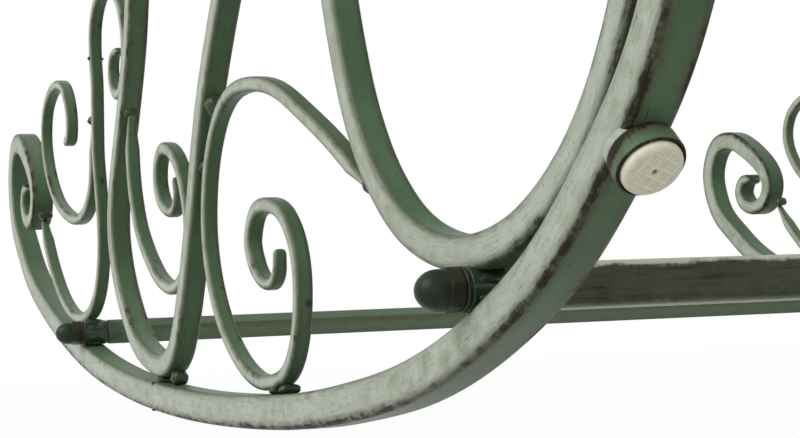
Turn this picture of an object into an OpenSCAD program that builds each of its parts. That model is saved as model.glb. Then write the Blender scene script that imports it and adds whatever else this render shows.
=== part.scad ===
/* [Bench] */
// Distance between the middle planes of the two side frames
frame_gap = 825; // [600:5:1400]
// Lean of the whole bench where it balances on its rockers, in degrees
rest_lean = 2.2; // [0:0.1:6]

/* [Bars] */
// Side of the square bar of the rockers and arms
rocker_bar = 20; // [16:1:25]
// Side of the square bar of the ovals and the leg loops
loop_bar = 16; // [12:1:20]
// Width of the scroll strip, across the frame
scroll_w = 10; // [8:1:14]
// Thickness of the scroll strip, in the plane of the frame
scroll_t = 9; // [6:1:10]
// Straight pieces in each stretch of a curve
curve_steps = 4; // [2:1:6]

/* [Stretchers] */
// Side of the front stretcher's square bar
front_stretcher_bar = 20; // [16:1:24]
// Side of the rear stretcher's square bar
rear_stretcher_bar = 16; // [12:1:20]
// Roll of the front stretcher about its own length, in degrees
front_stretcher_roll = 0; // [0:1:45]
// Roll of the rear stretcher about its own length, in degrees
rear_stretcher_roll = 34; // [0:1:45]
// Diameter of the tie bolts
bolt_d = 12; // [8:1:14]
// Width across the flats of the cap nuts
nut_flats = 18; // [14:1:22]
// Full length of a cap nut with its dome
nut_len = 20; // [14:1:24]

/* [Stops] */
// Diameter of the glide in a rocker stop
glide_d = 24; // [16:1:30]
// Height of the cup that the glide sits in
cup_h = 10; // [6:1:18]

/* [Seat] */
// Height of the middle of the seat rails above the rocker's low point
seat_h = 420; // [380:5:460]
// Number of seat slats
slat_count = 11; // [8:1:14]
// Width of a seat slat
slat_w = 40; // [25:1:45]
// Thickness of a seat slat
slat_t = 4; // [3:1:10]

/* [Back] */
// Number of upright bars in the back
back_bar_count = 11; // [5:2:15]
// Side of the back's upright bars
back_bar = 10; // [8:1:12]
// Rise of the top rail at its middle
top_rise = 70; // [0:5:120]

/* [Hidden] */
$fn = 48;
side_x = frame_gap / 2;
green = [0.33, 0.41, 0.33];
worn = [0.24, 0.23, 0.19];

// Side view: first number is towards the rear, second is up, zero under the low point.
// Rocker, from the scroll at the rear, along the floor, up the front and back as the arm.
rocker_pts = [
    [740, 247], [753, 246], [761, 234], [754, 220], [736, 213], [716, 218], [706, 236],
    [715, 257], [742, 281], [770, 296], [797, 295], [815, 275], [819, 250], [808, 217], [782, 190],
    [745, 160], [690, 131], [600, 96], [500, 66], [400, 45], [300, 30], [200, 19.5],
    [100, 13], [0, 10], [-80, 12], [-160, 18.5], [-230, 33], [-297, 57], [-350, 90],
    [-388, 122], [-416, 163], [-437, 215], [-450, 280], [-453, 350], [-446, 420],
    [-428, 488], [-398, 548], [-353, 598], [-294, 630], [-220, 642], [-130, 638],
    [-30, 628], [80, 620], [170, 622], [237, 632], [276, 640]
];
// Closed oval in front, under the arm
oval_pts = [
    [-103, 180], [-117, 146], [-137, 117], [-166, 92], [-203, 76], [-243, 70.5],
    [-282, 75], [-318, 89], [-348, 110.5], [-373, 140], [-391, 174], [-403, 217],
    [-409, 267], [-410, 320], [-404, 375], [-391, 428], [-366, 478], [-326, 515],
    [-273, 531], [-217, 526], [-165, 500], [-127, 457], [-103, 405], [-92, 350],
    [-88, 290], [-91, 232]
];
// Leg loop: from the front under the seat, round the bottom and up into the back post
leg_pts = [
    [-12, 430], [2, 385], [32, 338], [68, 298], [108, 256], [140, 218], [162, 184],
    [181, 148], [202, 112], [224, 80], [246, 58], [274, 50], [308, 55], [346, 70],
    [376, 97], [397, 127], [406, 158], [399, 187], [378, 219], [350, 257], [327, 293],
    [312, 327], [292, 370], [271, 410], [255, 448], [248, 480], [251, 510], [277, 609],
    [303, 708], [329, 807], [350, 886], [366, 922], [391, 942], [417, 936], [426, 914],
    [413, 898]
];
// Scroll under the seat between the oval and the leg loop, with an arch at its top
arch_pts = [
    [-120, 116], [-78, 144.5], [-37, 168.5], [8, 192], [48, 204], [88, 208], [118, 200],
    [141, 181], [155, 157], [161, 128], [155, 98], [137, 69], [108, 45], [76, 31],
    [46, 28], [18, 33], [-1, 51], [-10, 80], [-5, 104], [12, 122], [36, 130],
    [59, 129], [72, 114], [67, 99], [54, 88], [39, 84.5], [28, 90], [25, 103]
];
// Small scroll inside the leg loop
inner_pts = [
    [346, 243], [349, 226], [350, 208], [349, 192], [345, 176], [337, 158], [324, 142],
    [307, 127], [286, 113], [262, 104], [240, 102], [221, 107], [208, 120], [202, 138],
    [205, 158], [216, 180], [234, 195], [255, 201], [270, 194], [274, 179], [266, 165],
    [251, 156.5], [236, 155], [228, 164], [231, 177]
];
// Tall scroll behind the leg loop, from the rocker's rear up to an arch
rear_pts = [
    [698, 210], [681, 185], [655, 156], [620, 129], [581, 111], [541, 104.5], [505, 108],
    [478, 123], [462, 147], [457, 176], [460, 205], [463, 232], [459, 262], [455, 290],
    [456, 315], [450, 338], [432, 353], [408, 357], [381, 350], [358, 333], [348, 310],
    [351, 284], [367, 266], [386, 269], [397, 285], [390, 299], [373, 299]
];
// Hooked scroll at the rear
hook_pts = [
    [575, 286], [581, 274], [574, 264], [562, 265], [557, 278], [562, 296], [577, 312],
    [603, 320], [632, 319], [657, 308], [669, 288], [667, 266], [653, 242], [626, 218],
    [590, 201], [553, 191], [520, 190], [494, 199], [479, 214], [472, 238], [467, 262]
];
front_boss = [-237, 55];
rear_boss = [511, 90];
boss_r = 10;
stop_at = [-363, 99.5];
stop_turn = 139;
back_foot = [251, 510];
back_tilt = atan((350 - 251) / (886 - 510));
back_len = 340;

// Weld beads: place in the side view and radius
weld_pts = [
    [287, 40, 5.5], [252, 40, 5.5], [22, 23, 3], [40, 23, 3], [694, 214, 5],
    [469, 262, 4], [-124, 117, 5], [132, 207, 7], [158, 172, 5], [351, 246, 5],
    [195, 136, 4.5], [-298, 70, 4], [-358, 113, 4.5], [278, 646, 4], [456, 312, 3]
];

function curve(a, b, c, d, t) = 0.5 * (2 * b + (c - a) * t + (2 * a - 5 * b + 4 * c - d) * t * t
    + (3 * b - a - 3 * c + d) * t * t * t);
function through(p, n) = let (m = len(p) - 1) concat(
    [for (i = [0 : m - 1], k = [0 : n - 1])
        curve(p[max(i - 1, 0)], p[i], p[i + 1], p[min(i + 2, m)], k / n)], [p[m]]);
function round_through(p, n) = let (m = len(p))
    [for (i = [0 : m - 1], k = [0 : n - 1])
        curve(p[(i + m - 1) % m], p[i], p[(i + 1) % m], p[(i + 2) % m], k / n)];
function side_of(v) = [-v[1], v[0]] / norm(v);
// One edge of a strip of width w, drawn down to a share of it over its first pieces
function edge(c, w, share = 1, pieces = 1) = let (m = len(c) - 1)
    [for (i = [0 : m]) c[i] + w / 2 * min(1, share + (1 - share) * i / pieces)
        * side_of(c[min(i + 1, m)] - c[max(i - 1, 0)])];
function turned(p) = [for (i = [len(p) - 1 : -1 : 0]) p[i]];
function strip(c, w, share = 1, pieces = 1) =
    concat(edge(c, w, share, pieces), turned(edge(c, -w, share, pieces)));
function ring_edge(c, w) = let (m = len(c))
    [for (i = [0 : m - 1]) c[i] + w / 2 * side_of(c[(i + 1) % m] - c[(i + m - 1) % m])];
function leaned(p) = [
    p[0] * cos(rest_lean) + p[1] * sin(rest_lean),
    p[1] * cos(rest_lean) - p[0] * sin(rest_lean)
];

rocker_line = through(rocker_pts, curve_steps);
rocker_strip = strip(rocker_line, rocker_bar, 0.5, 8 * curve_steps);
rocker_out = [for (p = rocker_strip) leaned(p)];
low_z = min([for (p = rocker_out) p[1]]);
mid_y = (min([for (p = rocker_out) p[0]]) + max([for (p = rocker_out) p[0]])) / 2;

// Sets the bench down where it balances, over the middle of its outline
module at_rest() {
    translate([0, -mid_y, -low_z]) rotate([-rest_lean, 0, 0]) children();
}
// A side-view outline given its width, on the left (-1) or right (1) frame
module frame_plate(side, width) {
    at_rest() translate([side * side_x, 0, 0]) rotate([90, 0, 90])
        linear_extrude(height = width, center = true) children();
}
module bar_curve(side, line, thick, width) {
    frame_plate(side, width) polygon(strip(line, thick));
}
module cross_rod(r, x0, x1, at) {
    translate([x0, at[0], at[1]]) rotate([0, 90, 0]) cylinder(r = r, h = x1 - x0);
}

module rocker(side) {
    color(green) frame_plate(side, rocker_bar) polygon(rocker_strip);
}
module oval(side) {
    line = round_through(oval_pts, curve_steps);
    color(green) frame_plate(side, loop_bar) difference() {
        polygon(ring_edge(line, loop_bar));
        polygon(ring_edge(line, -loop_bar));
    }
}
module leg_loop(side) {
    color(green) bar_curve(side, through(leg_pts, curve_steps), loop_bar, loop_bar);
}
module scroll(side, pts) {
    color(green) bar_curve(side, through(pts, curve_steps), scroll_t, scroll_w);
}
module left_rocker() { rocker(-1); }
module right_rocker() { rocker(1); }
module left_oval() { oval(-1); }
module right_oval() { oval(1); }
module left_leg_loop() { leg_loop(-1); }
module right_leg_loop() { leg_loop(1); }
module left_arch_scroll() { scroll(-1, arch_pts); }
module right_arch_scroll() { scroll(1, arch_pts); }
module left_inner_scroll() { scroll(-1, inner_pts); }
module right_inner_scroll() { scroll(1, inner_pts); }
module left_rear_scroll() { scroll(-1, rear_pts); }
module right_rear_scroll() { scroll(1, rear_pts); }
module left_hook_scroll() { scroll(-1, hook_pts); }
module right_hook_scroll() { scroll(1, hook_pts); }

module weld_beads(side) {
    color(worn) at_rest() for (w = weld_pts)
        cross_rod(w[2], side * side_x - scroll_w / 2, side * side_x + scroll_w / 2, [w[0], w[1]]);
}
module left_weld_beads() { weld_beads(-1); }
module right_weld_beads() { weld_beads(1); }

// Stretchers run between the inner faces of the frames and take the tie bolts in their ends
module front_stretcher() {
    reach = side_x - rocker_bar / 2;
    color(worn) at_rest() difference() {
        translate([0, front_boss[0], front_boss[1]]) rotate([front_stretcher_roll, 0, 0])
            cube([2 * reach, front_stretcher_bar, front_stretcher_bar], center = true);
        for (s = [-1, 1]) cross_rod(bolt_d / 2, s * reach - 32, s * reach + 32, front_boss);
    }
}
module rear_stretcher() {
    reach = side_x - rocker_bar / 2;
    color(green) at_rest() difference() {
        union() {
            translate([0, rear_boss[0], rear_boss[1]]) rotate([rear_stretcher_roll, 0, 0])
                cube([2 * reach - 8, rear_stretcher_bar, rear_stretcher_bar], center = true);
            for (s = [-1, 1])
                cross_rod(boss_r, min(s * reach, s * (reach - 14)),
                    max(s * reach, s * (reach - 14)), rear_boss);
        }
        for (s = [-1, 1]) cross_rod(bolt_d / 2, s * reach - 32, s * reach + 32, rear_boss);
    }
}
module stretcher_bosses() {
    color(green) at_rest() for (s = [-1, 1], b = [front_boss, rear_boss]) difference() {
        cross_rod(boss_r, s * side_x - rocker_bar / 2, s * side_x + rocker_bar / 2, b);
        cross_rod(bolt_d / 2, s * side_x - rocker_bar, s * side_x + rocker_bar, b);
    }
}
module tie_bolts() {
    inner = side_x - rocker_bar / 2 - 32;
    outer = side_x + rocker_bar / 2 + 12;
    color(worn) at_rest() for (s = [-1, 1], b = [front_boss, rear_boss])
        cross_rod(bolt_d / 2, min(s * inner, s * outer), max(s * inner, s * outer), b);
}
module bolt_washers() {
    color("black") at_rest() for (s = [-1, 1], b = [front_boss, rear_boss])
        translate([s * (side_x + rocker_bar / 2 + 1.2), b[0], b[1]]) rotate([0, 90, 0]) difference() {
            cylinder(r = nut_flats / 2 + 1, h = 2.4, center = true);
            cylinder(r = bolt_d / 2, h = 4, center = true);
        }
}
// Hexagon with a domed end, bored blind for the bolt
module cap_nut() {
    hex_r = nut_flats / 2 / cos(30);
    dome_r = nut_flats / 2 - 0.5;
    difference() {
        union() {
            cylinder(r = hex_r, h = nut_len * 0.48, $fn = 6);
            cylinder(r = dome_r, h = nut_len - dome_r);
            intersection() {
                translate([0, 0, nut_len - dome_r]) sphere(r = dome_r);
                translate([0, 0, nut_len - dome_r]) cylinder(r = 2 * dome_r, h = 2 * dome_r);
            }
        }
        translate([0, 0, -1]) cylinder(r = bolt_d / 2, h = 1 + 9.6);
    }
}
module cap_nuts() {
    color(worn) at_rest() for (s = [-1, 1], b = [front_boss, rear_boss])
        translate([s * (side_x + rocker_bar / 2 + 2.4), b[0], b[1]]) rotate([0, s * 90, 0]) cap_nut();
}

// Rocker stops: a cup on the rocker's outer face at the front, with a glide in it
module at_stop(side) {
    at_rest() translate([side * side_x, stop_at[0], stop_at[1]]) rotate([stop_turn, 0, 0]) children();
}
module stop_cups() {
    color(green) for (s = [-1, 1]) at_stop(s) difference() {
        translate([0, 0, rocker_bar / 2]) cylinder(r = glide_d / 2 + 1.5, h = cup_h);
        translate([0, 0, rocker_bar / 2 + cup_h - 5]) cylinder(r = glide_d / 2, h = 8);
    }
}
module stop_glides() {
    color("ivory") for (s = [-1, 1]) at_stop(s) difference() {
        union() {
            translate([0, 0, rocker_bar / 2 + cup_h - 5]) cylinder(r = glide_d / 2, h = 6);
            translate([0, 0, rocker_bar / 2 + cup_h + 1]) cylinder(r1 = glide_d / 2, r2 = glide_d / 2 - 2, h = 2);
        }
        translate([0, 0, rocker_bar / 2 + cup_h - 1]) cylinder(r = 1.2, h = 8);
    }
}

// Seat frame stands between the side frames, on the inner faces of their loops
rail_x = side_x - loop_bar / 2 - 10;
rail_front = -386;
rail_rear = 262;
module seat_rail(side) {
    color(green) at_rest() translate([side * rail_x, (rail_front + rail_rear) / 2, seat_h])
        cube([20, rail_rear - rail_front, 20], center = true);
}
module left_seat_rail() { seat_rail(-1); }
module right_seat_rail() { seat_rail(1); }
module seat_cross_rail(y) {
    color(green) at_rest() translate([0, y, seat_h]) cube([2 * rail_x - 20, 20, 20], center = true);
}
module seat_front_rail() { seat_cross_rail(rail_front + 10); }
module seat_rear_rail() { seat_cross_rail(rail_rear - 10); }
module seat_bearer() {
    color(green) at_rest() translate([0, (rail_front + rail_rear) / 2, seat_h + 2])
        cube([16, rail_rear - rail_front - 40, 16], center = true);
}
module seat_slats() {
    pitch = (rail_rear - rail_front - slat_w) / (slat_count - 1);
    color(green) at_rest() for (i = [0 : slat_count - 1])
        translate([0, rail_front + slat_w / 2 + i * pitch, seat_h + 10 + slat_t / 2])
            cube([2 * rail_x + 16, slat_w, slat_t], center = true);
}

// The back stands between the posts, in their leaning plane
module in_back() {
    at_rest() translate([0, back_foot[0], back_foot[1]]) rotate([-back_tilt, 0, 0]) children();
}
back_x = side_x - loop_bar / 2;
function top_at(x) = back_len + top_rise * (1 - pow(x / back_x, 2));
module back_lower_rail() {
    color(green) in_back() translate([0, 0, 10]) cube([2 * back_x, 16, 20], center = true);
}
module back_top_rail() {
    line = [for (i = [-16 : 16]) [i / 16 * back_x, top_at(i / 16 * back_x)]];
    color(green) in_back() rotate([90, 0, 0]) linear_extrude(height = 16, center = true)
        intersection() {
            polygon(strip(line, 20));
            translate([-back_x, 0]) square([2 * back_x, 2 * back_len]);
        }
}
module back_bars() {
    gap = 2 * back_x / (back_bar_count + 1);
    color(green) in_back() for (i = [1 : back_bar_count]) let (x = i * gap - back_x)
        translate([x - back_bar / 2, -back_bar / 2, 20]) cube([back_bar, back_bar, top_at(x) - 28]);
}

left_rocker();
right_rocker();
left_oval();
right_oval();
left_leg_loop();
right_leg_loop();
left_arch_scroll();
right_arch_scroll();
left_inner_scroll();
right_inner_scroll();
left_rear_scroll();
right_rear_scroll();
left_hook_scroll();
right_hook_scroll();
left_weld_beads();
right_weld_beads();
front_stretcher();
rear_stretcher();
stretcher_bosses();
tie_bolts();
bolt_washers();
cap_nuts();
stop_cups();
stop_glides();
left_seat_rail();
right_seat_rail();
seat_front_rail();
seat_rear_rail();
seat_bearer();
seat_slats();
back_lower_rail();
back_top_rail();
back_bars();
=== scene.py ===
import bpy
import bmesh
import math
from mathutils import Matrix, Vector, noise


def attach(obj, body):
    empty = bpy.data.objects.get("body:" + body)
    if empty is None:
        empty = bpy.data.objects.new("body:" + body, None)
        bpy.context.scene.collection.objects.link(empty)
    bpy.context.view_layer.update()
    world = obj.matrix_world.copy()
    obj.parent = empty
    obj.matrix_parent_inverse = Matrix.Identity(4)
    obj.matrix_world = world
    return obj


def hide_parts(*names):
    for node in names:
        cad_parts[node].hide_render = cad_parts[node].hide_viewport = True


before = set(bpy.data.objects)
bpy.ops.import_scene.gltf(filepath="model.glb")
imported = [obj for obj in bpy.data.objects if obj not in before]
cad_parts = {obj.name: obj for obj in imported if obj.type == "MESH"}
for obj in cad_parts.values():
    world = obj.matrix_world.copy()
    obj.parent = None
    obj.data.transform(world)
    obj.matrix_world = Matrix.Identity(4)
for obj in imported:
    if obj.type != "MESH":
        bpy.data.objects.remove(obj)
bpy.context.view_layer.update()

acrossX = Vector((1, 0, 0))
sides = ("left", "right")
mm = 0.001
print("frame loaded,", len(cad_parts), "nodes")


# Reading the frame: each bar's line, size and place is measured on its own node.
reading = {
    "same": 1e-6,  # points closer than this are one, m
    "facing": 0.99,  # how squarely a bar's flat face looks across it
    "bend": 16,  # stations at each end of a bar whose turns are compared
    "level": 0.4,  # neighbouring faces within this angle are one, degrees
    "lean": 0.01,  # how little a long face leans along its solid
    "broad": 0.97,  # a face this near to the broadest in area counts as broad too
    "alongTo": Vector((1, 0.3, 0.1)),  # the general way in which a solid runs
    "topTo": Vector((0, -0.3, 1)),  # the general way in which a top looks
}


def cadMesh(nodeName):
    bm = bmesh.new()
    bm.from_mesh(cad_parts[nodeName].data)
    bmesh.ops.remove_doubles(bm, verts=bm.verts, dist=reading["same"])
    bm.verts.index_update()
    return bm


def spread(points, axis):
    along = [p.dot(axis) for p in points]
    return min(along), max(along)


def rims(nodeName, across):
    # the loops of points round a bent bar's flat face, the one that looks along across, and all its points
    bm = cadMesh(nodeName)
    flat = {face for face in bm.faces if face.normal.dot(across) > reading["facing"]}
    beside = {}
    for edge in bm.edges:
        if sum(face in flat for face in edge.link_faces) == 1:
            for v in edge.verts:
                beside.setdefault(v.index, []).append(edge.other_vert(v).index)
    spots = [v.co.copy() for v in bm.verts]
    bm.free()
    loops = []
    while beside:
        at = min(beside)
        loop = []
        while at in beside:
            near = beside.pop(at)
            loop.append(spots[at])
            at = next((other for other in near if other in beside), None)
        loops.append(loop)
    return loops, spots


def turnAt(line, i):
    return (line[i] - line[i - 1]).angle(line[(i + 1) % len(line)] - line[i], 0)


def barLine(nodeName, across):
    # stations (middle, thickness) along a bent bar; an open bar is turned to end in its tighter curl
    loops, spots = rims(nodeName, across)
    low, high = spread(spots, across)
    closed = len(loops) == 2
    if closed:
        loops.sort(key=lambda loop: -sum((a - b).length for a, b in zip(loop, loop[1:])))
        pairs = [(p, min(loops[1], key=lambda q: (q - p).length)) for p in loops[0]]
    else:
        loop = loops[0]
        corners = sorted(range(len(loop)), key=lambda i: -turnAt(loop, i))[:4]
        first = min(i for i in corners if (i + 1) % len(loop) in corners)
        pairs = [(loop[first - k], loop[(first + 1 + k) % len(loop)]) for k in range(len(loop) // 2)]
    line = [((a + b) / 2 - across * (high - low) / 2, (a - b).length) for a, b in pairs]
    if not closed:
        middles = [p for p, _ in line]
        startBend = sum(turnAt(middles, i) for i in range(1, reading["bend"]))
        endBend = sum(turnAt(middles, i) for i in range(len(line) - reading["bend"], len(line) - 1))
        if startBend > endBend:
            line.reverse()
    return finer(line, closed), high - low, closed


def finer(line, closed, steps=3):
    # a smooth curve through the stations, with more of them
    count = len(line)
    pick = (lambda i: line[i % count]) if closed else (lambda i: line[min(max(i, 0), count - 1)])
    path = []
    for i in range(count if closed else count - 1):
        (a, _), (b, first), (c, second), (d, _) = pick(i - 1), pick(i), pick(i + 1), pick(i + 2)
        for k in range(steps):
            t = k / steps
            spot = 0.5 * (2 * b + (c - a) * t + (2 * a - 5 * b + 4 * c - d) * t * t
                          + (3 * b - a - 3 * c + d) * t ** 3)
            path.append((spot, first + (second - first) * t))
    if not closed:
        path.append(line[-1])
    return path


def shortened(line, cut):
    # the line without a length at its last end
    while cut > 0:
        cut -= (line[-1][0] - line[-2][0]).length
        line = line[:-1]
    return line


def archLine(nodeName, across, steps=60):
    # stations along a shallow arch whose ends are cut upright, from the heights of its rim over each x
    (loop,), spots = rims(nodeName, across)
    near, far = spread(spots, across)
    left, right = spread(spots, acrossX)
    line = []
    for i in range(steps + 1):
        x = left + (right - left) * i / steps
        met = [p.lerp(q, (x - p.x) / (q.x - p.x)) for p, q in zip(loop, loop[1:] + loop[:1])
               if p.x != q.x and (p.x - x) * (q.x - x) <= 0]
        low = min(met, key=lambda p: p.z)
        high = max(met, key=lambda p: p.z)
        line.append(((low + high) / 2 - across * (far - near) / 2, (high - low).length))
    return line, far - near


def faceGroups(bm):
    # the faces of each separate solid
    groups, seen = [], set()
    for start in bm.faces:
        if start in seen:
            continue
        seen.add(start)
        group = [start]
        for face in group:
            for edge in face.edges:
                for other in edge.link_faces:
                    if other not in seen:
                        seen.add(other)
                        group.append(other)
        groups.append(group)
    return groups


def solidsOf(nodeName):
    # each separate solid of a node: its points, the way of its longest edge, its upper broad long face
    # and the way of its lid, which is its largest face of all
    bm = cadMesh(nodeName)
    bmesh.ops.dissolve_limit(bm, angle_limit=math.radians(reading["level"]), verts=bm.verts, edges=bm.edges)
    found = []
    for group in faceGroups(bm):
        edges = [edge for face in group for edge in face.edges]
        longest = max(edges, key=lambda edge: round(edge.calc_length(), 5))
        along = (longest.verts[1].co - longest.verts[0].co).normalized()
        if along.dot(reading["alongTo"]) < 0:
            along = -along
        longFaces = [face for face in group if abs(face.normal.dot(along)) < reading["lean"]]
        broadest = max([face.calc_area() for face in longFaces] or [0])
        tops = [face for face in longFaces if face.calc_area() > broadest * reading["broad"]]
        top = max(tops or group, key=lambda face: round(face.normal.dot(reading["topTo"]), 4))
        # of two equal lids, the one that looks down
        lid = max(group, key=lambda face: face.calc_area() - face.normal.z * 1e-7)
        found.append({"points": [v.co.copy() for face in group for v in face.verts],
                      "along": along,
                      "up": top.normal.copy(),
                      "top": [v.co.copy() for v in top.verts],
                      "lid": lid.normal.copy()})
    bm.free()
    return found


def middleOf(points, axes):
    return sum((axis * sum(spread(points, axis)) / 2 for axis in axes), Vector())


def roundSolid(solid, axis):
    # start, length and radius of a turned solid about its axis
    a = axis.orthogonal().normalized()
    b = axis.cross(a)
    centre = middleOf(solid["points"], (a, b))
    low, high = spread(solid["points"], axis)
    near, far = spread(solid["points"], a)
    return centre + axis * low, high - low, (far - near) / 2


# Making meshes: every point keeps how worn a corner it is on, and how much it is on a bar's side face.
section = {
    "fade": (0.75, 0.95, 1, 0.95, 0.75),  # wear over a rounded corner
    "edge": 0.16,  # share of a flat face, from its corner, where a point still has some wear
    "edgeWear": 0.4,  # that point's share of the corner's wear
}
ending = {
    "round": ((0, 1), (0.3, 0.3), (1, 0)),  # radii back from the end, radii drawn in
    "clear": 1.2,  # radii from the end where the bar's own stations begin
    "narrow": 0.35,  # share of the width that a drawn end always keeps
    "most": 0.8,  # a corner radius is at most this share of half the thickness
    "least": 0.1,  # share of the thickness that an end keeps
}
turnedWear = {"smooth": 0.2, "corner": 1}
# A lump's swell and grain are (depth, scale) of its unevenness.
lump = {"rings": 13, "segments": 22, "swell": (0.2, 1.6), "grain": (0.07, 5), "wear": 0.4}


def newMesh():
    bm = bmesh.new()
    bm.verts.layers.float.new("corner")
    bm.verts.layers.float.new("side")
    bm.loops.layers.uv.new("UVMap")
    return bm


def setLayers(bm, first, values):
    # gives the points made since a number their layers' values
    bm.verts.ensure_lookup_table()
    for v in bm.verts[first:]:
        for layerName, value in values.items():
            v[bm.verts.layers.float[layerName]] = value


def barSection(halfAcross, halfThick, radius, wear):
    # points round a square bar: across, thickness, how worn the corner is, how much it is a side face
    quarters = ((1, 1), (-1, 1), (-1, -1), (1, -1))
    last = len(section["fade"]) - 1
    points = []
    for k, (signU, signV) in enumerate(quarters):
        nextU, nextV = quarters[(k + 1) % 4]
        worn = wear[0] if signV > 0 else wear[1]
        nextWorn = wear[0] if nextV > 0 else wear[1]
        for j, fade in enumerate(section["fade"]):
            angle = math.radians(90 * (k + j / last))
            u = signU * (halfAcross - radius) + radius * math.cos(angle)
            v = signV * (halfThick - radius) + radius * math.sin(angle)
            points.append((u, v, worn * fade, 1 - j / last if k % 2 == 0 else j / last))
        angle = math.radians(90 * (k + 1))
        start = Vector(points[-1][:2])
        end = Vector((nextU * (halfAcross - radius) + radius * math.cos(angle),
                      nextV * (halfThick - radius) + radius * math.sin(angle)))
        edge, edgeWear = section["edge"], section["edgeWear"]
        for share, corner in ((edge, edgeWear * worn), (0.5, 0), (1 - edge, edgeWear * nextWorn)):
            p = start.lerp(end, share)
            points.append((p.x, p.y, corner, k % 2))
    return points


def addRings(bm, rings, flags, lengths, closed):
    # faces between rings of points; flags gives each point its corner and side values
    cornerLayer, sideLayer = bm.verts.layers.float["corner"], bm.verts.layers.float["side"]
    uvLayer = bm.loops.layers.uv["UVMap"]
    made = []
    for i, ring in enumerate(rings):
        row = []
        for j, p in enumerate(ring):
            v = bm.verts.new(p)
            v[cornerLayer], v[sideLayer] = flags(i, j)
            row.append(v)
        made.append(row)
    count = len(rings[0])
    around = [0]
    for j in range(count):
        around.append(around[-1] + (rings[0][(j + 1) % count] - rings[0][j]).length)
    for i in range(len(made) if closed else len(made) - 1):
        a, b = made[i], made[(i + 1) % len(made)]
        for j in range(count):
            k = (j + 1) % count
            face = bm.faces.new((a[j], a[k], b[k], b[j]))
            face.smooth = True
            uvs = ((lengths[i], around[j]), (lengths[i], around[j + 1]),
                   (lengths[i + 1], around[j + 1]), (lengths[i + 1], around[j]))
            for loop, uv in zip(face.loops, uvs):
                loop[uvLayer].uv = uv
    if not closed:
        bm.faces.new(made[0][::-1]).smooth = True
        bm.faces.new(made[-1]).smooth = True


def roundedEnds(stations, radius):
    # both ends of an open bar drawn in over its corner radius
    total = stations[-1][2]
    clear = radius * ending["clear"]
    inner = [station for station in stations if clear < station[2] < total - clear]
    ends = []
    for (spot, tangent, length, thick, _), way in ((stations[0], radius), (stations[-1], -radius)):
        ends.append([(spot + tangent * way * back, tangent, length + way * back, thick, radius * drawnIn)
                     for back, drawnIn in ending["round"]])
    return ends[0] + inner + ends[1][::-1]


def addBar(bm, line, across, width, radius, closed=False, foot=None, curl=None, wear=(1, 1), cutAcross=None):
    # foot and curl draw the first and last end down to a share of the thickness, and less of the width,
    # over a length in mm; cutAcross keeps every section square to one direction
    radius *= mm
    count = len(line)
    path = [p for p, _ in line]
    lengths = [0]
    for i in range(count if closed else count - 1):
        lengths.append(lengths[-1] + (path[(i + 1) % count] - path[i]).length)
    total = lengths[-1]
    stations = []
    for i in range(count):
        if closed:
            tangent = path[(i + 1) % count] - path[i - 1]
        else:
            tangent = path[min(i + 1, count - 1)] - path[max(i - 1, 0)]
        stations.append((path[i], tangent.normalized(), lengths[i], line[i][1], 0))
    if not closed:
        stations = roundedEnds(stations, radius)
        lengths = [station[2] for station in stations]
    rings = []
    for spot, tangent, length, thick, drawnIn in stations:
        normal = across.cross(cutAcross or tangent).normalized()
        slim = 1
        for drawn, away in ((foot, length), (curl, total - length)):
            if drawn:
                slim = min(slim, drawn[0] + (1 - drawn[0]) * away / (drawn[1] * mm))
        half = thick / 2 * slim
        halfWidth = width / 2 * (ending["narrow"] + (1 - ending["narrow"]) * slim)
        around = barSection(halfWidth, half, min(radius, half * ending["most"]), wear)
        keptWidth = 1 - drawnIn / halfWidth
        keptThick = max(ending["least"], 1 - drawnIn / half)
        rings.append([spot + across * u * keptWidth + normal * v * keptThick for u, v, _, _ in around])
    addRings(bm, rings, lambda i, j: around[j][2:], lengths, closed)


def addStraight(bm, solid, radius, square=False, steps=24, wear=(1, 1)):
    # a straight bar in the place of a solid; a square one is as thick as its top is wide
    along, up = solid["along"], solid["up"]
    wide = along.cross(up)
    low, high = spread(solid["points"], along)
    near, far = spread(solid["top"], wide)
    under, over = spread(solid["points"], up)
    thick = far - near if square else over - under
    middle = wide * (near + far) / 2 + up * (under + over) / 2
    line = [(middle + along * (low + (high - low) * i / steps), thick) for i in range(steps + 1)]
    addBar(bm, line, wide, far - near, radius, wear=wear)


def addTurned(bm, start, axis, profile, segments, shape=None, corners=()):
    # profile is (mm along the axis, radius in mm); shape may change the radius with the angle, and
    # corners are the numbers of the profile's worn points
    a = axis.orthogonal().normalized()
    b = axis.cross(a)
    rings, lengths = [], [0]
    for i, (along, radius) in enumerate(profile):
        ring = []
        for k in range(segments):
            angle = 2 * math.pi * k / segments
            reach = shape(angle, radius) if shape else radius
            ring.append(start + (axis * along + (a * math.cos(angle) + b * math.sin(angle)) * reach) * mm)
        rings.append(ring)
        if i:
            lengths.append(lengths[-1] + math.dist(profile[i], profile[i - 1]) * mm)
    wear = [turnedWear["corner" if i in corners else "smooth"] for i in range(len(profile))]
    addRings(bm, rings, lambda i, j: (wear[i], 0), lengths, False)


def addLump(bm, centre, radii, seed):
    # an uneven lump of weld, radii in mm
    (swell, swellScale), (grain, grainScale) = lump["swell"], lump["grain"]
    rings = []
    for i in range(lump["rings"]):
        tilt = math.pi * (i + 1) / (lump["rings"] + 1)
        ring = []
        for k in range(lump["segments"]):
            angle = 2 * math.pi * k / lump["segments"]
            way = Vector((math.cos(tilt), math.sin(tilt) * math.cos(angle), math.sin(tilt) * math.sin(angle)))
            bump = 1 + swell * noise.noise(way * swellScale + Vector((seed, 0, 0)))
            bump += grain * noise.noise(way * grainScale + Vector((0, seed, 0)))
            ring.append(centre + Vector([w * radius for w, radius in zip(way, radii)]) * bump * mm)
        rings.append(ring)
    addRings(bm, rings, lambda i, j: (lump["wear"], 0), [i * mm for i in range(lump["rings"])], False)


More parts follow.
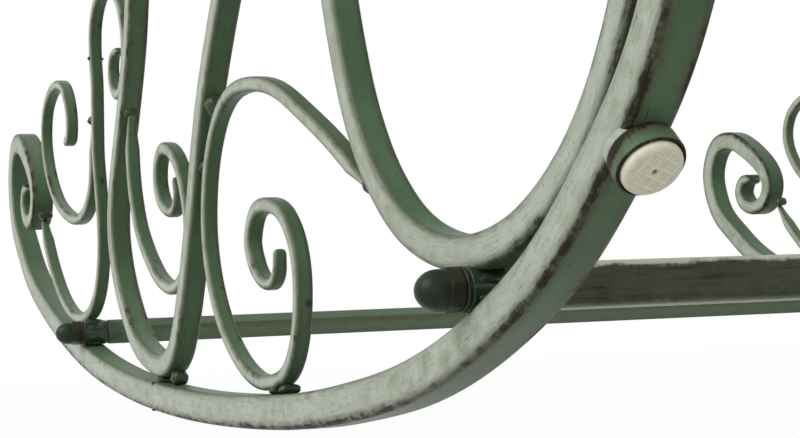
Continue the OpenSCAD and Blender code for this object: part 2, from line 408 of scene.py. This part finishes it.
def finishPiece(bm, name, material, nodeName):
    bmesh.ops.recalc_face_normals(bm, faces=bm.faces)
    mesh = bpy.data.meshes.new(name)
    bm.to_mesh(mesh)
    bm.free()
    mesh.materials.append(material)
    piece = bpy.data.objects.new(name, mesh)
    bpy.context.scene.collection.objects.link(piece)
    piece.modifiers.new("evenShading", "WEIGHTED_NORMAL")
    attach(piece, "root")
    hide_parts(nodeName)


# Helpers for the finishes.

def node(tree, kind, **values):
    made = tree.nodes.new(kind)
    for key, value in values.items():
        if key in made.inputs:
            made.inputs[key].default_value = value
        else:
            setattr(made, key, value)
    return made


def plug(tree, socket, value):
    if isinstance(value, bpy.types.NodeSocket):
        tree.links.new(value, socket)
    elif isinstance(value, tuple):
        socket.default_value = (*value, 1)
    else:
        socket.default_value = value


def mixColour(tree, amount, first, second):
    mix = node(tree, "ShaderNodeMix", data_type="RGBA")
    for index, value in ((0, amount), (6, first), (7, second)):
        plug(tree, mix.inputs[index], value)
    return mix.outputs[2]


def sums(tree, operation, first, second, clamp=False):
    made = node(tree, "ShaderNodeMath", operation=operation, use_clamp=clamp)
    plug(tree, made.inputs[0], first)
    plug(tree, made.inputs[1], second)
    return made.outputs[0]


def ramp(tree, value, low, high, start=0.0, end=1.0):
    made = node(tree, "ShaderNodeMapRange", interpolation_type="SMOOTHSTEP")
    for key, number in (("From Min", low), ("From Max", high), ("To Min", start), ("To Max", end)):
        made.inputs[key].default_value = number
    tree.links.new(value, made.inputs["Value"])
    return made.outputs["Result"]


def amount(tree, value, band, most):
    # how far a value is into a band, up to a most
    return sums(tree, "MULTIPLY", ramp(tree, value, *band), most)


def noiseAt(tree, vector, scale, detail, rough):
    made = node(tree, "ShaderNodeTexNoise", Scale=scale, Detail=detail, Roughness=rough)
    tree.links.new(vector, made.inputs["Vector"])
    return made.outputs["Fac"]


def stretched(tree, vector, scale, turn=0.0):
    made = node(tree, "ShaderNodeMapping", Scale=(*scale, 1.0), Rotation=(0.0, 0.0, math.radians(turn)))
    tree.links.new(vector, made.inputs["Vector"])
    return made.outputs[0]


def layerValue(tree, layerName):
    return node(tree, "ShaderNodeAttribute", attribute_name=layerName).outputs["Fac"]


def newMaterial(name):
    material = bpy.data.materials.new(name)
    material.use_nodes = True
    tree = material.node_tree
    return material, tree, tree.nodes["Principled BSDF"], node(tree, "ShaderNodeTexCoord").outputs["Object"]


# Each noise is (scale, detail, roughness) and each band is where a value starts and ends to show. The shifts
# are how far a noise moves the worn edge, and the heights are each one's part in the bump.
brush = {
    "cloud": (9.0, 3.0, 0.6), "mottle": (85.0, 6.0, 0.7), "speck": (520.0, 3.0, 0.7),
    "streak": (1.0, 5.0, 0.7), "scratch": (1.0, 1.0, 0.6),
    "scratchScale": (70.0, 1100.0), "scratchTurn": 34.0,
    "even": (0.3, 0.7), "glazeBand": (0.12, 0.9), "cloudBand": (0.4, 0.68), "sideBand": (0.2, 0.95),
    "streakBand": (0.48, 0.75), "speckBand": (0.62, 0.74), "scratchBand": (0.7, 0.76), "wearBand": 0.32,
    "mottleShift": (-0.16, 0.16), "cloudShift": (-0.2, 0.14), "streakShift": (-0.12, 0.12),
    "streakRough": 0.6, "wornRough": 0.5, "coatRough": 0.22, "bumpDistance": 0.0005,
    "mottleHeight": 0.7, "streakHeight": 0.5, "wornHeight": 0.35, "speckHeight": 0.25,
}


def paintFinish(name, look):
    # brushed antique paint: cloudy green, a paler tone on the side faces that is partly an antique wash and
    # partly painted light and painted sheen, brown glaze to dark worn corners
    material, tree, shader, coords = newMaterial(name)
    uv = node(tree, "ShaderNodeUVMap", uv_map="UVMap").outputs[0]
    corner = layerValue(tree, "corner")
    side = layerValue(tree, "side")
    cloud = noiseAt(tree, coords, *brush["cloud"])
    mottle = noiseAt(tree, coords, *brush["mottle"])
    speck = noiseAt(tree, coords, *brush["speck"])
    streak = noiseAt(tree, stretched(tree, uv, look["streak"]), *brush["streak"])
    slanted = stretched(tree, uv, brush["scratchScale"], brush["scratchTurn"])
    scratch = noiseAt(tree, slanted, *brush["scratch"])

    even = brush["even"]
    edge = sums(tree, "ADD", corner, ramp(tree, mottle, *even, *brush["mottleShift"]))
    edge = sums(tree, "ADD", edge, ramp(tree, cloud, *even, *brush["cloudShift"]))
    edge = sums(tree, "ADD", edge, ramp(tree, streak, *even, *brush["streakShift"]))
    worn = amount(tree, edge, (look["wearFrom"], look["wearFrom"] + brush["wearBand"]), look["wear"])
    glaze = amount(tree, edge, brush["glazeBand"], look["glazing"])

    # the side faces' pale tone: partly antique wash, partly painted light and painted sheen standing in for
    # the light that falls on the flat sides
    paintedSheenAndWash = mixColour(tree, ramp(tree, mottle, *even), look["warm"], look["pale"])
    paintedSheenAndWash = mixColour(tree, ramp(tree, cloud, *brush["cloudBand"]), paintedSheenAndWash, look["pale"])
    tone = mixColour(tree, ramp(tree, cloud, *even), look["deep"], look["green"])
    tone = mixColour(tree, amount(tree, side, brush["sideBand"], look["paintedSheenAndWash"]), tone, paintedSheenAndWash)
    tone = mixColour(tree, amount(tree, streak, brush["streakBand"], look["streaks"]), tone, look["glaze"])
    tone = mixColour(tree, glaze, tone, look["glaze"])
    tone = mixColour(tree, amount(tree, speck, brush["speckBand"], look["specks"]), tone, look["worn"])
    tone = mixColour(tree, amount(tree, scratch, brush["scratchBand"], look["specks"]), tone, look["worn"])
    tone = mixColour(tree, worn, tone, look["edge"])
    tree.links.new(tone, shader.inputs["Base Color"])

    streakRough = sums(tree, "MULTIPLY", streak, brush["streakRough"])
    marks = sums(tree, "ADD", streakRough, sums(tree, "MULTIPLY", worn, brush["wornRough"]), True)
    tree.links.new(ramp(tree, marks, 0.0, 1.0, look["smooth"], look["rough"]), shader.inputs["Roughness"])
    shader.inputs["Specular IOR Level"].default_value = look["shine"]
    shader.inputs["Coat Weight"].default_value = look["coat"]
    shader.inputs["Coat Roughness"].default_value = brush["coatRough"]

    bump = node(tree, "ShaderNodeBump", Strength=look["bump"], Distance=brush["bumpDistance"])
    height = sums(tree, "MULTIPLY", mottle, brush["mottleHeight"])
    height = sums(tree, "ADD", height, sums(tree, "MULTIPLY", streak, brush["streakHeight"]))
    height = sums(tree, "SUBTRACT", height, sums(tree, "MULTIPLY", worn, brush["wornHeight"]))
    height = sums(tree, "ADD", height, sums(tree, "MULTIPLY", speck, brush["speckHeight"]))
    tree.links.new(height, bump.inputs["Height"])
    tree.links.new(bump.outputs[0], shader.inputs["Normal"])
    return material


# pale and warm give the side faces' tone, an antique wash with painted light and painted sheen in it
greenLook = {
    "deep": (0.058, 0.104, 0.052), "green": (0.088, 0.15, 0.082),
    "pale": (0.4, 0.445, 0.38), "warm": (0.25, 0.262, 0.185), "paintedSheenAndWash": 0.95,
    "glaze": (0.07, 0.063, 0.036), "glazing": 0.72, "streaks": 0.26, "streak": (75.0, 620.0),
    "worn": (0.014, 0.012, 0.007), "specks": 0.6,
    "edge": (0.011, 0.008, 0.004), "wear": 0.96, "wearFrom": 0.7,
    "smooth": 0.36, "rough": 0.6, "shine": 0.13, "coat": 0.0, "bump": 0.6}
greenPaint = paintFinish("antiqueGreenPaint", greenLook)
quietPaint = paintFinish("evenGreenPaint", dict(
    greenLook, pale=(0.16, 0.205, 0.13), warm=(0.12, 0.16, 0.09), glazing=0.35, wear=0.5, wearFrom=0.9))
brushedPaint = paintFinish("brushedStretcherPaint", dict(
    greenLook, deep=(0.13, 0.18, 0.11), green=(0.2, 0.26, 0.17), pale=(0.052, 0.054, 0.033),
    warm=(0.024, 0.021, 0.012), glaze=(0.008, 0.006, 0.003), glazing=0.0, streaks=1.0,
    streak=(22.0, 520.0), edge=(0.46, 0.5, 0.41), wear=0.8, wearFrom=0.66))
nutPaint = paintFinish("darkNutPaint", dict(
    greenLook, deep=(0.012, 0.019, 0.01), green=(0.026, 0.042, 0.022), paintedSheenAndWash=0.0,
    glaze=(0.04, 0.026, 0.016), streaks=0.5, specks=0.7, edge=(0.008, 0.009, 0.006), wear=0.6,
    wearFrom=0.9, coat=0.05, smooth=0.3, rough=0.5))
weldPaint = paintFinish("paintedWeld", dict(
    greenLook, deep=(0.014, 0.02, 0.011), green=(0.04, 0.066, 0.036), paintedSheenAndWash=0.0, glazing=0.4,
    coat=0.22, smooth=0.22, rough=0.45))
bossPaint = paintFinish("glossyBossPaint", dict(
    greenLook, deep=(0.018, 0.034, 0.017), green=(0.035, 0.062, 0.032), paintedSheenAndWash=0.0, glazing=0.25, wear=0.8,
    coat=0.35, smooth=0.22, rough=0.42))


plain = {"grain": (4.0, 0.6), "soil": (60.0, 4.0, 0.6), "grainBand": (0.35, 0.65), "soilBand": (0.45, 0.75),
         "soiled": 0.3, "hollowBand": (0.5, 1.0), "shine": 0.35, "bump": 0.15, "bumpDistance": 0.0003}


def plainFinish(name, look):
    # one even material: fine grain, some soil, paler where it is raised as a painted highlight and dark in
    # its hollows as painted shade
    material, tree, shader, coords = newMaterial(name)
    grain = noiseAt(tree, coords, look["grain"], *plain["grain"])
    soil = noiseAt(tree, coords, *plain["soil"])
    tone = mixColour(tree, ramp(tree, grain, *plain["grainBand"]), look["shade"], look["colour"])
    tone = mixColour(tree, amount(tree, soil, plain["soilBand"], plain["soiled"]), tone, look["soil"])
    # points marked as side faces turn paler: a painted highlight on raised parts
    tone = mixColour(tree, layerValue(tree, "side"), tone, look["raisedHighlight"])
    # worn corners turn dark: painted shade in the hollows, such as the glide's pin hole
    tone = mixColour(tree, ramp(tree, layerValue(tree, "corner"), *plain["hollowBand"]), tone, look["hollowShade"])
    tree.links.new(tone, shader.inputs["Base Color"])
    shader.inputs["Roughness"].default_value = look["rough"]
    shader.inputs["Specular IOR Level"].default_value = plain["shine"]
    bump = node(tree, "ShaderNodeBump", Strength=plain["bump"], Distance=plain["bumpDistance"])
    tree.links.new(grain, bump.inputs["Height"])
    tree.links.new(bump.outputs[0], shader.inputs["Normal"])
    return material


glidePlastic = plainFinish("ivoryGlidePlastic", {
    "colour": (0.66, 0.65, 0.5), "shade": (0.58, 0.57, 0.43), "soil": (0.5, 0.47, 0.33),
    "raisedHighlight": (0.76, 0.75, 0.62), "hollowShade": (0.06, 0.055, 0.04), "rough": 0.5, "grain": 380.0})
washerPaint = plainFinish("blackWasher", {
    "colour": (0.013, 0.015, 0.011), "shade": (0.007, 0.008, 0.006), "soil": (0.03, 0.025, 0.018),
    "raisedHighlight": (0.02, 0.02, 0.018), "hollowShade": (0.01, 0.01, 0.008), "rough": 0.42, "grain": 300.0})
print("finishes made")


# The side frames' bent bars: corner radius in mm, wear of the corners on the line's two sides (the rocker's
# outer side is the second), and drawn ends as (share of the thickness, length in mm); bluntTip is a length
# left off the last end, in mm.
scroll = {"radius": 2.4, "wear": (0.74, 0.64), "curl": (0.62, 60), "foot": (0.3, 26)}
bentBars = {
    "rocker": {"radius": 3.2, "wear": (0.55, 0.93)},
    "oval": {"radius": 3.0, "wear": (0.78, 0.62)},
    "leg_loop": {"radius": 3.0, "wear": (0.72, 0.6), "curl": (0.6, 60)},
    "arch_scroll": scroll,
    "inner_scroll": scroll,
    "rear_scroll": scroll,
    "hook_scroll": dict(scroll, curl=(0.9, 10), bluntTip=24),
}
seam = {"y": 0.102, "proud": 0.5, "length": 2.4, "round": 0.9}  # y in m, the rest in mm


def addSeam(bm, line, width):
    # the butt weld round the rocker, near the floor
    spot = min(range(1, len(line) - 1), key=lambda i: abs(line[i][0].y - seam["y"]) + line[i][0].z)
    along = (line[spot + 1][0] - line[spot - 1][0]).normalized()
    ring = [(line[spot][0] + along * seam["length"] * mm * k, line[spot][1] + seam["proud"] * mm)
            for k in (-0.5, 0, 0.5)]
    addBar(bm, ring, acrossX, width + seam["proud"] * mm, seam["round"])


def makeBentBar(sideName, barName, bar):
    nodeName = sideName + "_" + barName
    line, width, closed = barLine(nodeName, acrossX)
    line = shortened(line, bar.get("bluntTip", 0) * mm)
    bm = newMesh()
    addBar(bm, line, acrossX, width, bar["radius"], closed, bar.get("foot"), bar.get("curl"), bar["wear"])
    if barName == "rocker":
        addSeam(bm, line, width)
    pieceName = sideName + barName.title().replace("_", "") + "Bar"
    finishPiece(bm, pieceName, greenPaint, nodeName)


for sideName in sides:
    for barName, bar in bentBars.items():
        makeBentBar(sideName, barName, bar)
print("side frames made")


beads = {"halfWidth": 6.5, "swell": 1.04, "seedStep": 3.1}


def makeWeldBeads(sideName):
    bm = newMesh()
    for i, solid in enumerate(solidsOf(sideName + "_weld_beads")):
        start, length, radius = roundSolid(solid, acrossX)
        reach = radius / mm * beads["swell"]
        addLump(bm, start + acrossX * length / 2, (beads["halfWidth"], reach, reach), i * beads["seedStep"])
    finishPiece(bm, sideName + "WeldBeads", weldPaint, sideName + "_weld_beads")


for sideName in sides:
    makeWeldBeads(sideName)
print("weld beads made")


# Stretchers, bosses, washers and nuts. In turned pieces h and r are the length and radius in mm.
stretcher = {
    "front": {"radius": 2.6, "wear": (1, 0.6)},
    "rear": {"radius": 2.4, "wear": (0.8, 0.8)},
    # the rear one's round ends: mm from the end, share of the boss's radius
    "bulb": [(0, 0.84), (1, 0.95), (3, 1), (6, 1), (9, 0.96), (12, 0.84), (14, 0.72), (15, 0.6)],
    "segments": 36,
}
boltSpots = [roundSolid(solid, acrossX) for solid in solidsOf("stretcher_bosses")]


def makeFrontStretcher():
    front = stretcher["front"]
    bm = newMesh()
    addStraight(bm, solidsOf("front_stretcher")[0], front["radius"], wear=front["wear"])
    finishPiece(bm, "frontStretcherBar", brushedPaint, "front_stretcher")


def makeRearStretcher():
    rear = stretcher["rear"]
    solid = solidsOf("rear_stretcher")[0]
    bm = newMesh()
    addStraight(bm, solid, rear["radius"], square=True, wear=rear["wear"])
    rearBoss = max((start for start, _, _ in boltSpots), key=lambda p: p.y)
    bossRadius = boltSpots[0][2] / mm
    reach = spread(solid["points"], acrossX)[1]
    for sign in (-1, 1):
        end = Vector((sign * reach, rearBoss.y, rearBoss.z))
        profile = [(along, share * bossRadius) for along, share in stretcher["bulb"]]
        addTurned(bm, end, acrossX * -sign, profile, stretcher["segments"])
    finishPiece(bm, "rearStretcherBar", quietPaint, "rear_stretcher")


# The waist is a share of the radius; eased is where the rounding's middle point lies.
boss = {"bore": 7, "round": 0.9, "eased": 0.3, "waist": 0.97, "segments": 40,
        "welds": 7, "weldAt": 0.86, "weldSize": (7.5, 2.9, 2.9), "seedStep": 1.7}


def makeBosses():
    bm = newMesh()
    bore, c = boss["bore"], boss["round"]
    e = c * boss["eased"]
    for i, (start, length, radius) in enumerate(boltSpots):
        h, r = length / mm, radius / mm
        addTurned(bm, start, acrossX, [
            (0, bore), (0, r - c), (e, r - e), (c, r), (h / 2, r * boss["waist"]),
            (h - c, r), (h - e, r - e), (h, r - c), (h, bore)], boss["segments"], corners=(2, 6))
        ringRadius = radius * boss["weldAt"]
        for k in range(boss["welds"]):  # the weld run round the front of the boss
            angle = 2 * math.pi * k / boss["welds"]
            spot = start + Vector((length / 2, ringRadius * math.cos(angle), ringRadius * math.sin(angle)))
            addLump(bm, spot, boss["weldSize"], i + k * boss["seedStep"])
    finishPiece(bm, "stretcherBosses", bossPaint, "stretcher_bosses")


washer = {"bore": 6.2, "round": 0.4, "segments": 40}


def makeWashers():
    bm = newMesh()
    bore, c = washer["bore"], washer["round"]
    for solid in solidsOf("bolt_washers"):
        start, length, radius = roundSolid(solid, acrossX)
        h, r = length / mm, radius / mm
        profile = [(0, bore), (0, r - c), (c, r), (h - c, r), (h, r - c), (h, bore)]
        addTurned(bm, start, acrossX, profile, washer["segments"])
    finishPiece(bm, "boltWashers", washerPaint, "bolt_washers")


capNut = {"flats": 18, "hexLength": 7.4, "bore": 6.4, "segments": 72,
          "dome": 9.1, "domeRise": 1.15, "domeSteps": 10, "domeTurn": 10, "tip": 0.3}


def hexagon(angle, radius):
    sector = math.pi / 3
    return min(radius, capNut["flats"] / 2 / math.cos(angle % sector - sector / 2))


def makeCapNuts():
    bm = newMesh()
    hexTop, dome, bore = capNut["hexLength"], capNut["dome"], capNut["bore"]
    rise = dome * capNut["domeRise"]
    for solid in solidsOf("cap_nuts"):
        start, length, radius = roundSolid(solid, acrossX)
        out = 1 if start.x > 0 else -1
        foot = start if out > 0 else start + acrossX * length
        r, full = radius / mm, length / mm
        profile = [(0, bore), (0, r - 1), (0.8, r), (hexTop - 1.4, r), (hexTop - 0.4, r - 0.9),
                   (hexTop, dome)]
        for k in range(capNut["domeSteps"]):
            a = math.radians(k * capNut["domeTurn"])
            profile.append((full - rise + rise * math.sin(a), max(capNut["tip"], dome * math.cos(a))))
        addTurned(bm, foot, acrossX * out, profile, capNut["segments"], hexagon, corners=(2, 4))
    finishPiece(bm, "capNuts", nutPaint, "cap_nuts")


makeFrontStretcher()
makeRearStretcher()
makeBosses()
makeWashers()
makeCapNuts()
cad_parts["tie_bolts"].material_slots[0].material = nutPaint
print("stretchers made")


# The rocker stops. Sizes in mm; soil is how strongly the weld's dirt shows, from a share of the way round.
cup = {"wall": 1.5, "segments": 56, "soil": 3.0, "soilFrom": 0.35,
       "fillet": 2.6, "filletInset": 1.4, "filletSteps": 9, "filletTurn": 8, "filletRound": 0.95,
       "filletTaper": 0.4, "filletRipple": (0.12, 1.9), "filletWear": (0.1, 0.1)}
glide = {"proud": 3, "play": 0.2, "rim": 0.2, "ring": 8.6, "hole": 1.1, "dish": 0.15, "segments": 64,
         "ribs": (-1.5, -0.5, 0.5, 1.5), "gap": 4.4, "rib": (0.5, 0.3), "ribRound": 0.1, "ribSink": 0.14,
         "turn": 24}


def addCup(bm, start, axis, h, r, outward):
    # from the foot on the rocker, up the outer wall, over the lip and down into the recess
    inside = r - cup["wall"]
    first = len(bm.verts)
    addTurned(bm, start, axis, [
        (-1.5, 6), (-1.5, inside - 1), (0.4, r - 0.9), (1.8, r - 0.1), (h - 1, r), (h - 0.2, r - 0.3),
        (h, r - 0.8), (h, inside + 0.2), (h - 4.5, inside + 0.1), (h - 5, inside - 1), (h - 5, 4)],
        cup["segments"], corners=(2, 3, 5, 6, 7))
    cornerLayer = bm.verts.layers.float["corner"]
    bm.verts.ensure_lookup_table()
    for v in bm.verts[first:]:  # dark soil round the weld, on the outer side
        away = v.co - start
        up = away.dot(axis)
        facing = (away - axis * up).normalized().dot(outward)
        soil = cup["soil"] * max(0, facing - cup["soilFrom"]) * (1 - up / (h * mm))
        v[cornerLayer] = max(v[cornerLayer], soil)


def addFillet(bm, start, axis, r, outward, over):
    # the weld under the cup, round the rocker's outer side, given the side faces' pale tone as a painted
    # highlight
    reach = (r - cup["wall"] - cup["filletInset"]) * mm
    steps = cup["filletSteps"]
    ripple, rippleStep = cup["filletRipple"]
    weld = []
    for k in range(-steps, steps + 1):
        a = math.radians(k * cup["filletTurn"])
        swell = cup["fillet"] * (1 - cup["filletTaper"] * abs(k) / steps + ripple * math.sin(k * rippleStep))
        spot = start + (outward * math.cos(a) + over * math.sin(a)) * reach - axis * mm
        weld.append((spot, 2 * swell * mm))
    first = len(bm.verts)
    radius = cup["fillet"] * cup["filletRound"]
    addBar(bm, weld, axis, 2 * cup["fillet"] * mm, radius, wear=cup["filletWear"])
    # side 1 paints the weld pale: a painted highlight where it faces the light
    setLayers(bm, first, {"side": 1})


def addGlide(bm, start, axis, h, r):
    # a domed disc with a shallow dish, a raised ring round its grid and a pin hole
    disc = r - cup["wall"]
    side = disc - glide["play"]
    top = h + glide["proud"]
    ring, hole, dish = glide["ring"], glide["hole"], top - glide["dish"]
    rimDraw = [glide["rim"] * height ** 1.6 for height in (0.8, 1.9)]
    # the pin hole's walls, points 16 to 18, are marked as worn corners, which the glide's finish paints dark
    # as painted shade
    addTurned(bm, start, axis, [
        (h - 4.6, 5), (h - 4.6, disc - 0.4), (h - 1, side), (h + 0.8, side - rimDraw[0]),
        (h + 1.9, side - rimDraw[1]), (top - 0.35, disc - 1.6), (top - 0.05, disc - 2.6), (top, disc - 3.1),
        (dish, disc - 3.4), (dish, ring + 0.4), (top, ring + 0.2), (top, ring - 0.2), (dish, ring - 0.4),
        (dish, hole + 0.2), (top - 0.3, hole), (top - 0.7, hole), (top - 2.2, hole), (top - 2.2, 0.3)],
        glide["segments"], corners=(16, 17, 18))


def addGrid(bm, start, axis, h, outward, over):
    # crossed ribs inside the glide's ring, painted paler as a painted highlight
    turned = Matrix.Rotation(math.radians(glide["turn"] * outward.x), 3, axis)
    level = h + glide["proud"] - glide["ribSink"]
    for first, second in ((acrossX, over), (over, acrossX)):
        ribWay, gapWay = turned @ first, turned @ second
        for place in glide["ribs"]:
            half = math.sqrt(glide["ring"] ** 2 - (place * glide["gap"]) ** 2)
            middle = start + (axis * level + gapWay * place * glide["gap"]) * mm
            line = [(middle + ribWay * half * mm * n / 4, glide["rib"][1] * mm) for n in range(-4, 5)]
            before = len(bm.verts)
            addBar(bm, line, gapWay, glide["rib"][0] * mm, glide["ribRound"])
            # side 1 gives the ribs the glide's painted highlight
            setLayers(bm, before, {"side": 1, "corner": 0})


def makeStops():
    cups, glides = newMesh(), newMesh()
    for solid in solidsOf("stop_cups"):
        axis = solid["lid"] if solid["lid"].z < 0 else -solid["lid"]
        start, length, radius = roundSolid(solid, axis)
        h, r = length / mm, radius / mm
        outward = acrossX * (1 if start.x > 0 else -1)
        over = axis.cross(acrossX).normalized()
        addCup(cups, start, axis, h, r, outward)
        addFillet(cups, start, axis, r, outward, over)
        addGlide(glides, start, axis, h, r)
        addGrid(glides, start, axis, h, outward, over)
    finishPiece(cups, "stopCups", greenPaint, "stop_cups")
    finishPiece(glides, "stopGlides", glidePlastic, "stop_glides")


makeStops()
print("stops made")


# Seat and back: each straight bar's corner radius in mm, and the wear that they share.
straightBars = {"left_seat_rail": 3, "right_seat_rail": 3, "seat_front_rail": 3, "seat_rear_rail": 3,
                "seat_bearer": 2.5, "seat_slats": 1.2, "back_lower_rail": 3, "back_bars": 1.8}
seatBack = {"archRadius": 3, "wear": (0.85, 0.85)}


def makeStraightBars(barName, radius):
    bm = newMesh()
    for solid in solidsOf(barName):
        addStraight(bm, solid, radius, wear=seatBack["wear"])
    finishPiece(bm, barName.title().replace("_", "") + "Piece", greenPaint, barName)


def makeBackTopRail():
    rail, bars = solidsOf("back_lower_rail")[0], solidsOf("back_bars")[0]
    backFace = rail["along"].cross(bars["along"]).normalized()
    line, width = archLine("back_top_rail", backFace)
    bm = newMesh()
    addBar(bm, line, backFace, width, seatBack["archRadius"], wear=seatBack["wear"], cutAcross=acrossX)
    finishPiece(bm, "BackTopRailPiece", greenPaint, "back_top_rail")


for barName, radius in straightBars.items():
    makeStraightBars(barName, radius)
makeBackTopRail()
print("seat and back made")


# Floor, light and camera. Rays from the camera, mirrored ones too, find the world white and the floor nearly.
floorLook = {"colour": (0.62, 0.62, 0.61), "size": 14, "white": 0.97}
lights = {"sky": 0.6, "key": {"strength": 2.2, "way": (1.0, 0.2, -0.8), "angle": 45},
          "fill": {"strength": 0.3, "way": (-0.5, 1.0, -0.6), "angle": 60}}
camera = {"spot": (-0.7297, -1.0808, 0.0384), "lens": 76.4, "sensor": 36, "shiftX": 0.125, "nearest": 0.01,
          "lean": 8.55, "yaw": -19.81, "pitch": 86.74}


def seenRays(tree):
    path = node(tree, "ShaderNodeLightPath")
    mirrored = sums(tree, "MAXIMUM", path.outputs["Is Glossy Ray"], path.outputs["Is Transmission Ray"])
    return sums(tree, "MAXIMUM", path.outputs["Is Camera Ray"], mirrored)


def floorMaterial():
    material = bpy.data.materials.new("paleFloor")
    material.use_nodes = True
    tree = material.node_tree
    tree.nodes.clear()
    out = node(tree, "ShaderNodeOutputMaterial")
    matte = node(tree, "ShaderNodeBsdfDiffuse", Color=(*floorLook["colour"], 1))
    white = node(tree, "ShaderNodeEmission", Strength=1.0)
    mix = node(tree, "ShaderNodeMixShader")
    tree.links.new(sums(tree, "MULTIPLY", seenRays(tree), floorLook["white"]), mix.inputs[0])
    tree.links.new(matte.outputs[0], mix.inputs[1])
    tree.links.new(white.outputs[0], mix.inputs[2])
    tree.links.new(mix.outputs[0], out.inputs[0])
    return material


def makeFloor():
    bm = bmesh.new()
    bmesh.ops.create_grid(bm, x_segments=4, y_segments=4, size=floorLook["size"])
    mesh = bpy.data.meshes.new("floor")
    bm.to_mesh(mesh)
    bm.free()
    mesh.materials.append(floorMaterial())
    floor = bpy.data.objects.new("floor", mesh)
    bpy.context.scene.collection.objects.link(floor)


def makeWorld():
    world = bpy.data.worlds.new("studio")
    bpy.context.scene.world = world
    world.use_nodes = True
    tree = world.node_tree
    background = tree.nodes["Background"]
    background.inputs["Color"].default_value = (1, 1, 1, 1)
    level = node(tree, "ShaderNodeMapRange")
    level.inputs["To Min"].default_value = lights["sky"]
    level.inputs["To Max"].default_value = 1.0
    tree.links.new(seenRays(tree), level.inputs["Value"])
    tree.links.new(level.outputs[0], background.inputs["Strength"])


def addSun(name, lamp):
    data = bpy.data.lights.new(name, "SUN")
    data.energy = lamp["strength"]
    data.angle = math.radians(lamp["angle"])
    sun = bpy.data.objects.new(name, data)
    sun.rotation_euler = Vector(lamp["way"]).to_track_quat("-Z", "Y").to_euler()
    bpy.context.scene.collection.objects.link(sun)


def makeCamera():
    data = bpy.data.cameras.new("viewCamera")
    data.sensor_width = camera["sensor"]
    data.lens = camera["lens"]
    data.shift_x = camera["shiftX"]
    data.clip_start = camera["nearest"]
    viewCamera = bpy.data.objects.new("viewCamera", data)
    lean = Matrix.Rotation(math.radians(camera["lean"]), 4, "X")
    yaw = Matrix.Rotation(math.radians(camera["yaw"]), 4, "Z")
    pitch = Matrix.Rotation(math.radians(camera["pitch"]), 4, "X")
    viewCamera.matrix_world = Matrix.Translation(camera["spot"]) @ lean @ yaw @ pitch
    bpy.context.scene.collection.objects.link(viewCamera)
    bpy.context.scene.camera = viewCamera


makeFloor()
makeWorld()
addSun("keyLight", lights["key"])
addSun("fillLight", lights["fill"])
makeCamera()
bpy.context.scene.view_settings.view_transform = "Standard"
print("light and camera set")
